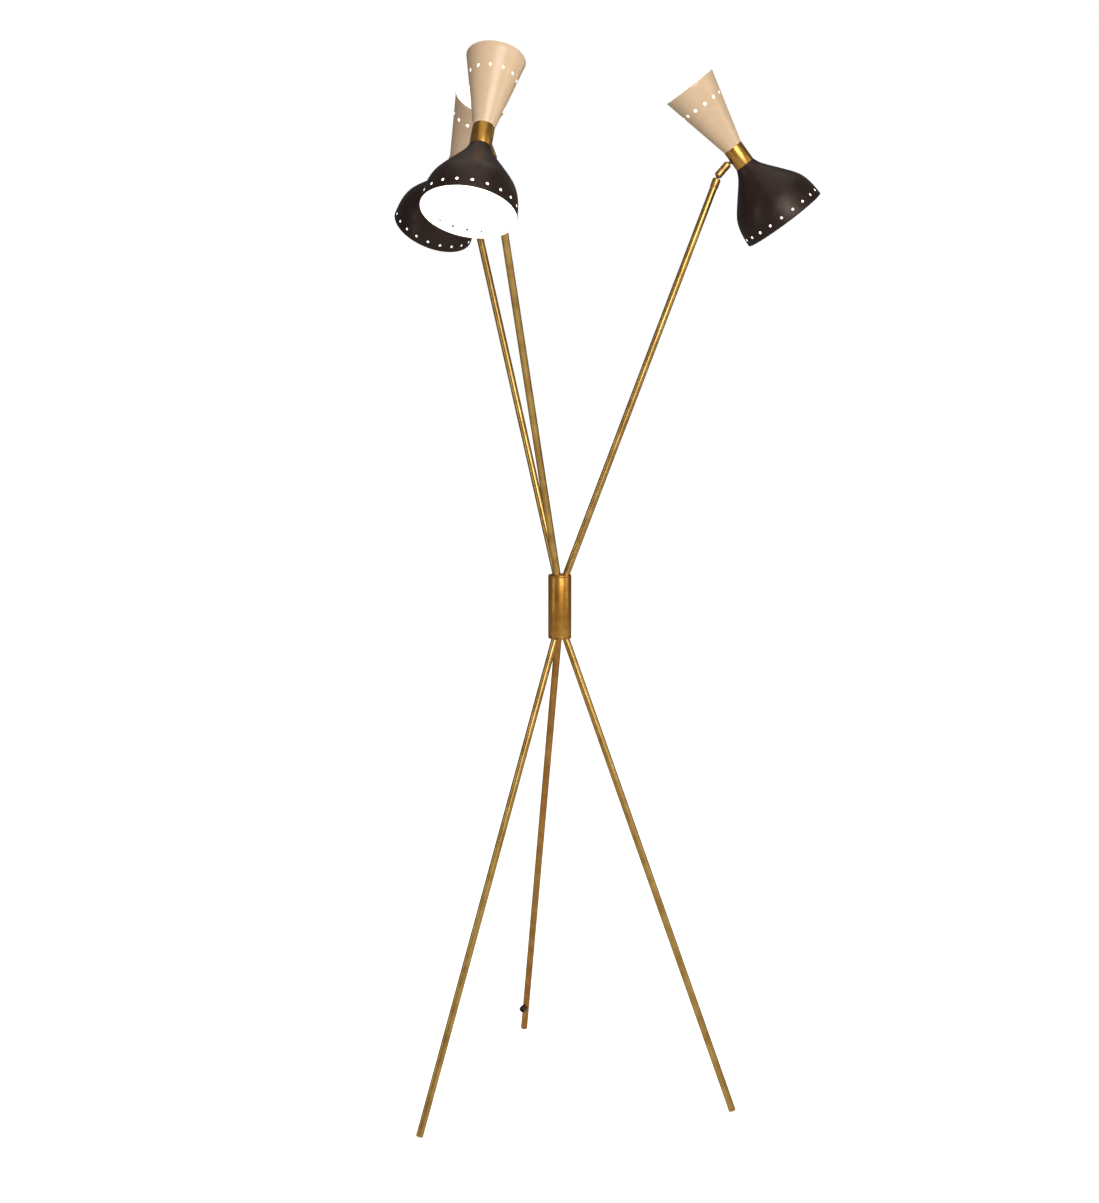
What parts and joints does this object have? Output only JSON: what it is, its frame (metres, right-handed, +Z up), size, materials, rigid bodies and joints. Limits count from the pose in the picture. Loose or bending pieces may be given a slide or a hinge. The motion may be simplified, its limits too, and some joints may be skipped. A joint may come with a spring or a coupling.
{
  "type": "tripod floor lamp",
  "caption": "Brass tripod floor lamp whose crossing legs and arms meet in a hub; each arm carries a perforated cone-and-bell double shade on a two-ball swivel.",
  "frame": {"origin": "on the floor, under the middle of the lamp's bounding box; the hub axis stands 72 mm towards -X and 18 mm towards +Y of it", "axes": "+Z up, +X to the right and -Y towards someone who looks at the front of the lamp"},
  "size_m": [0.764, 0.8054, 1.8245],
  "materials": {
    "aged_brass": "satin, aged",
    "dark_brass": "satin, dark patina",
    "bright_brass": "brushed",
    "cream_enamel": "gloss",
    "brown_enamel": "satin",
    "black_rubber": "matte",
    "white_porcelain": "gloss",
    "opal_glass": "gloss, opal"
  },
  "bodies": {
    "stand": {"hub_sleeve": "dark_brass", "hub_top_cap": "dark_brass", "hub_bottom_cap": "dark_brass", "leg_right": "aged_brass", "foot_right": "aged_brass", "leg_back": "aged_brass", "foot_back": "aged_brass", "leg_left": "aged_brass", "foot_left": "aged_brass", "cable_nozzle": "dark_brass", "cable_bushing": "black_rubber", "arm_right": "aged_brass", "ferrule_right": "aged_brass", "arm_back": "aged_brass", "ferrule_back": "aged_brass", "arm_front": "aged_brass", "ferrule_front": "aged_brass"},
    "neck_right": {"ball_stem_right": "dark_brass"},
    "barrel_right": {"barrel_lower_right": "aged_brass", "barrel_upper_right": "aged_brass"},
    "stud_right": {"pivot_right": "dark_brass"},
    "shade_right": {"collar_right": "bright_brass", "nipple_right": "dark_brass", "cone_right": "cream_enamel", "bell_right": "brown_enamel", "socket_up_right": "white_porcelain", "socket_down_right": "white_porcelain", "bulb_up_right": "opal_glass", "bulb_down_right": "opal_glass"},
    "neck_back": {"ball_stem_back": "dark_brass"},
    "barrel_back": {"barrel_lower_back": "aged_brass", "barrel_upper_back": "aged_brass"},
    "stud_back": {"pivot_back": "dark_brass"},
    "shade_back": {"collar_back": "bright_brass", "nipple_back": "dark_brass", "cone_back": "cream_enamel", "bell_back": "brown_enamel", "socket_up_back": "white_porcelain", "socket_down_back": "white_porcelain", "bulb_up_back": "opal_glass", "bulb_down_back": "opal_glass"},
    "neck_front": {"ball_stem_front": "dark_brass"},
    "barrel_front": {"barrel_lower_front": "aged_brass", "barrel_upper_front": "aged_brass"},
    "stud_front": {"pivot_front": "dark_brass"},
    "shade_front": {"collar_front": "bright_brass", "nipple_front": "dark_brass", "cone_front": "cream_enamel", "bell_front": "brown_enamel", "socket_up_front": "white_porcelain", "socket_down_front": "white_porcelain", "bulb_up_front": "opal_glass", "bulb_down_front": "opal_glass"}
  },
  "joints": [
    {"name": "neck_turn_right", "type": "hinge", "parent": "stand", "child": "neck_right", "pos_m": [0.20367, 0.05137, 1.64498], "axis": [0.355, 0.0436, 0.9338], "range_deg": [-170, 170]},
    {"name": "lower_ball_right", "type": "hinge", "parent": "neck_right", "child": "barrel_right", "pos_m": [0.20367, 0.05137, 1.64498], "axis": [-0.1219, 0.9925, 0], "range_deg": [-50.4, 9.6]},
    {"name": "upper_ball_right", "type": "hinge", "parent": "barrel_right", "child": "stud_right", "pos_m": [0.21875, 0.05322, 1.66224], "axis": [-0.1219, 0.9925, 0], "range_deg": [-41.2, 18.8]},
    {"name": "shade_roll_right", "type": "hinge", "parent": "stud_right", "child": "shade_right", "pos_m": [0.23893, 0.0557, 1.6778], "axis": [0.788, 0.0968, 0.608], "range_deg": [-170, 170]},
    {"name": "neck_turn_back", "type": "hinge", "parent": "stand", "child": "neck_back", "pos_m": [-0.23968, 0.23865, 1.64498], "axis": [-0.2163, 0.2849, 0.9338], "range_deg": [-170, 170]},
    {"name": "lower_ball_back", "type": "hinge", "parent": "neck_back", "child": "barrel_back", "pos_m": [-0.23968, 0.23865, 1.64498], "axis": [-0.6984, -0.7135, 0.0559], "range_deg": [-50.4, 9.6]},
    {"name": "upper_ball_back", "type": "hinge", "parent": "barrel_back", "child": "stud_back", "pos_m": [-0.24981, 0.24992, 1.66228], "axis": [-0.6984, -0.7135, 0.0559], "range_deg": [-39, 21]},
    {"name": "shade_roll_back", "type": "hinge", "parent": "stud_back", "child": "shade_back", "pos_m": [-0.26321, 0.26432, 1.67866], "axis": [-0.5233, 0.5624, 0.6402], "range_deg": [-170, 170]},
    {"name": "neck_turn_front", "type": "hinge", "parent": "stand", "child": "neck_front", "pos_m": [-0.17987, -0.23817, 1.64498], "axis": [-0.1392, -0.3295, 0.9338], "range_deg": [-170, 170]},
    {"name": "lower_ball_front", "type": "hinge", "parent": "neck_front", "child": "barrel_front", "pos_m": [-0.17987, -0.23817, 1.64498], "axis": [0.9079, -0.4189, -0.0125], "range_deg": [-53, 7]},
    {"name": "upper_ball_front", "type": "hinge", "parent": "barrel_front", "child": "stud_front", "pos_m": [-0.18637, -0.25275, 1.66154], "axis": [0.9079, -0.4189, -0.0125], "range_deg": [-48.2, 11.8]},
    {"name": "shade_roll_front", "type": "hinge", "parent": "stud_front", "child": "shade_front", "pos_m": [-0.19571, -0.27337, 1.67349], "axis": [-0.3651, -0.8053, 0.4672], "range_deg": [-170, 170]}
  ]
}
